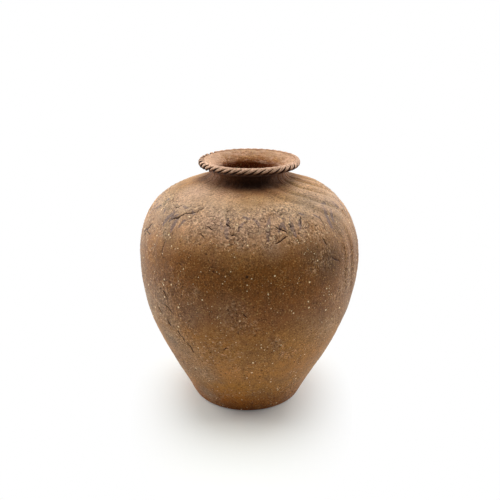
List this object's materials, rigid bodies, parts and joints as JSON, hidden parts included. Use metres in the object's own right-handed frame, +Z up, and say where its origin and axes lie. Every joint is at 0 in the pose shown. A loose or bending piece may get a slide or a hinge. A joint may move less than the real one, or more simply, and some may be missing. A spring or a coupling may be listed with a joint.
{
  "type": "onggi jar",
  "caption": "Coil-built stoneware storage jar with high shoulders, a narrow foot, a short neck and a flared mouth edged with a notched clay rope.",
  "frame": {"origin": "centre of the flat foot, on the surface that the jar stands on", "axes": "+Z up along the jar's axis and out of its mouth; -Y is the side that faces the camera in the picture, and X and Y have no other meaning on a round jar"},
  "size_m": [0.2458, 0.2458, 0.28],
  "materials": {
    "stoneware_body": "satin",
    "stoneware_mouth": "satin"
  },
  "bodies": {
    "root": {"base_slab": "stoneware_body", "wall_coil_1": "stoneware_body", "wall_coil_2": "stoneware_body", "wall_coil_3": "stoneware_body", "wall_coil_4": "stoneware_body", "wall_coil_5": "stoneware_body", "wall_coil_6": "stoneware_body", "shoulder_coil": "stoneware_body", "neck_collar": "stoneware_body", "mouth_flare": "stoneware_mouth", "rope_band": "stoneware_mouth"}
  },
  "joints": []
}
